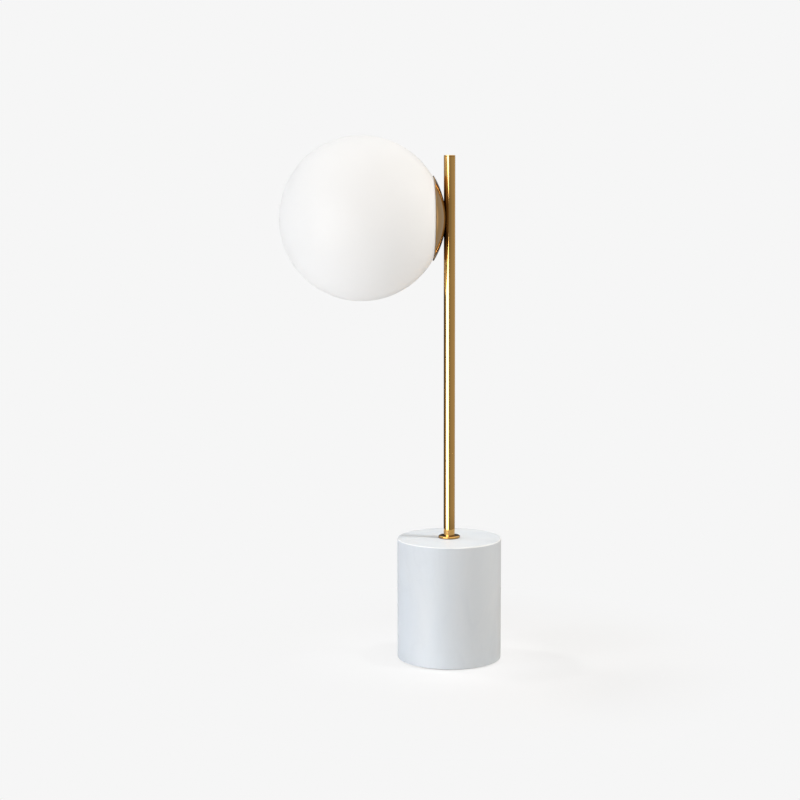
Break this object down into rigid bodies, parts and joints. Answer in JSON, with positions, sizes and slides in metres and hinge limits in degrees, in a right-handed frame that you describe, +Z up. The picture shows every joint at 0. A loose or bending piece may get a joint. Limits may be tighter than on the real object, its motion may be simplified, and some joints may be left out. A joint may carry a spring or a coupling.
{
  "type": "table lamp",
  "caption": "Table lamp with a round marble base, a slim brass stem and an opal glass globe held in a brass dome on the stem's side.",
  "frame": {"origin": "centre of the pad's underside, where the lamp stands", "axes": "+Z up along the stem, -X along the arm from the stem to the globe, +Y to the back, where the cord outlet is"},
  "size_m": [0.2443, 0.18, 0.5815],
  "materials": {
    "marble": "polished",
    "brass": "polished",
    "opal_glass": "satin",
    "foam_black": "matte",
    "rubber_black": "matte",
    "silicone_clear": "satin",
    "plastic_black": "satin",
    "plastic_white": "satin",
    "porcelain": "gloss",
    "zinc_steel": "satin",
    "aluminium": "satin",
    "contact_brass": "satin",
    "nickel": "satin",
    "bulb_frost": "satin",
    "led_yellow": "matte",
    "lead_brown": "satin",
    "lead_blue": "satin"
  },
  "bodies": {
    "lamp": {"marble_base": "marble", "stem_tube": "brass", "stem_cap": "brass", "stem_collar": "brass", "dome_cup": "brass", "stem_foot_insert": "brass", "arm_insert": "brass", "arm_nipple": "brass", "arm_spacer": "brass", "base_pad": "foam_black", "rubber_washer": "rubber_black", "cord_bush": "plastic_black", "lampholder_cap": "plastic_white", "lampholder_skirt": "plastic_white", "terminal_block": "plastic_white", "lampholder_core": "porcelain", "threaded_rod": "zinc_steel", "steel_washer": "zinc_steel", "lock_washer": "zinc_steel", "rod_nut": "zinc_steel", "block_screws": "zinc_steel", "terminal_screws": "zinc_steel", "holder_drum": "aluminium", "lampholder_shell": "contact_brass", "lampholder_contact": "contact_brass", "lampholder_terminals": "contact_brass", "lead_live": "lead_brown", "lead_neutral": "lead_blue"},
    "globe_seat": {"globe_gasket": "silicone_clear"},
    "globe": {"globe_shade": "opal_glass", "globe_ring": "aluminium"},
    "bulb_contact": {"bulb_eyelet": "contact_brass"},
    "bulb": {"bulb_cap": "nickel", "bulb_insulator": "porcelain", "bulb_housing": "plastic_white", "bulb_diffuser": "bulb_frost", "bulb_led_board": "aluminium", "bulb_leds": "led_yellow"}
  },
  "joints": [
    {"name": "globe_travel", "type": "slide", "parent": "lamp", "child": "globe_seat", "axis": [-1, 0, 0], "range_m": [0, 0.01205]},
    {"name": "globe_turn", "type": "hinge", "parent": "globe_seat", "child": "globe", "pos_m": [-0.0963, 0, 0.4915], "axis": [-1, 0, 0], "range_deg": [0, 1080]},
    {"name": "bulb_travel", "type": "slide", "parent": "lamp", "child": "bulb_contact", "axis": [-1, 0, 0], "range_m": [0, 0.0201]},
    {"name": "bulb_turn", "type": "hinge", "parent": "bulb_contact", "child": "bulb", "pos_m": [-0.09, 0, 0.4915], "axis": [-1, 0, 0], "range_deg": [0, 1980]}
  ],
  "couplings": [
    {"joint": "globe_travel", "follows": "globe_turn", "m_per_rad": 0.00063662},
    {"joint": "bulb_travel", "follows": "bulb_turn", "m_per_rad": 0.00057757}
  ]
}
